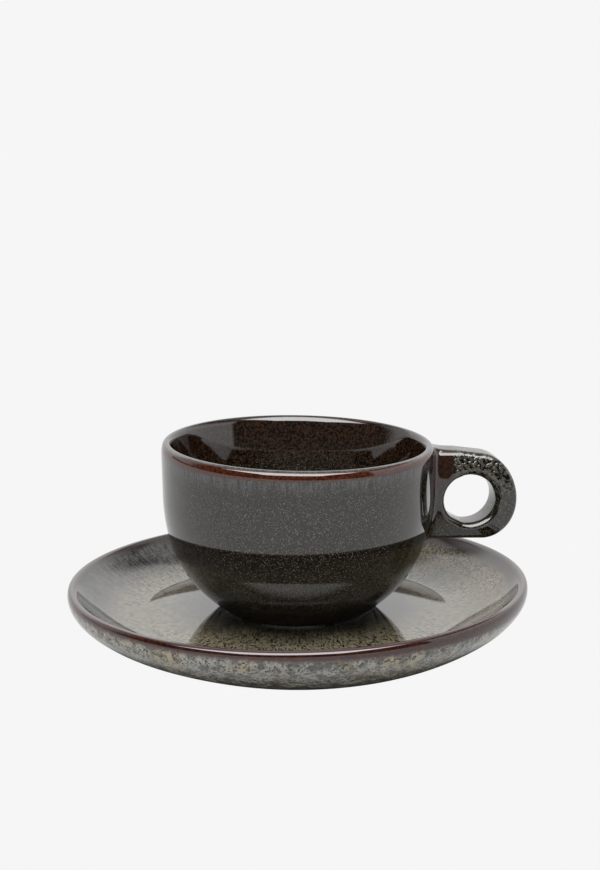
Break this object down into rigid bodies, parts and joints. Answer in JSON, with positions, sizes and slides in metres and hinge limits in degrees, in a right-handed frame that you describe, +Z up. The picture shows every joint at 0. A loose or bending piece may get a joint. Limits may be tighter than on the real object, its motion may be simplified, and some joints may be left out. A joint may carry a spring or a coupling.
{
  "type": "coffee cup with saucer",
  "caption": "Low wide glazed stoneware coffee cup with a flat lug handle and oval finger hole, standing on a dished saucer with a rounded lip.",
  "frame": {"origin": "centre of the saucer's foot ring, on the table that it stands on", "axes": "+Z up along the turning axis of the saucer and the cup, +X out along the handle"},
  "size_m": [0.15, 0.15, 0.068],
  "materials": {
    "saucer_glaze": "glossy speckled grey-green reactive glaze, rust brown on the lip",
    "cup_glaze": "glossy speckled dark brown reactive glaze, rust brown on the lip",
    "handle_glaze": "glossy speckled dark brown reactive glaze, rust brown on the edges"
  },
  "bodies": {
    "saucer": {"saucer": "saucer_glaze"},
    "cup": {"cup_body": "cup_glaze", "cup_handle": "handle_glaze"}
  },
  "joints": [
    {"name": "cup_lift", "type": "slide", "parent": "saucer", "child": "cup", "axis": [0, 0, 1], "range_m": [0, 0.1]}
  ]
}
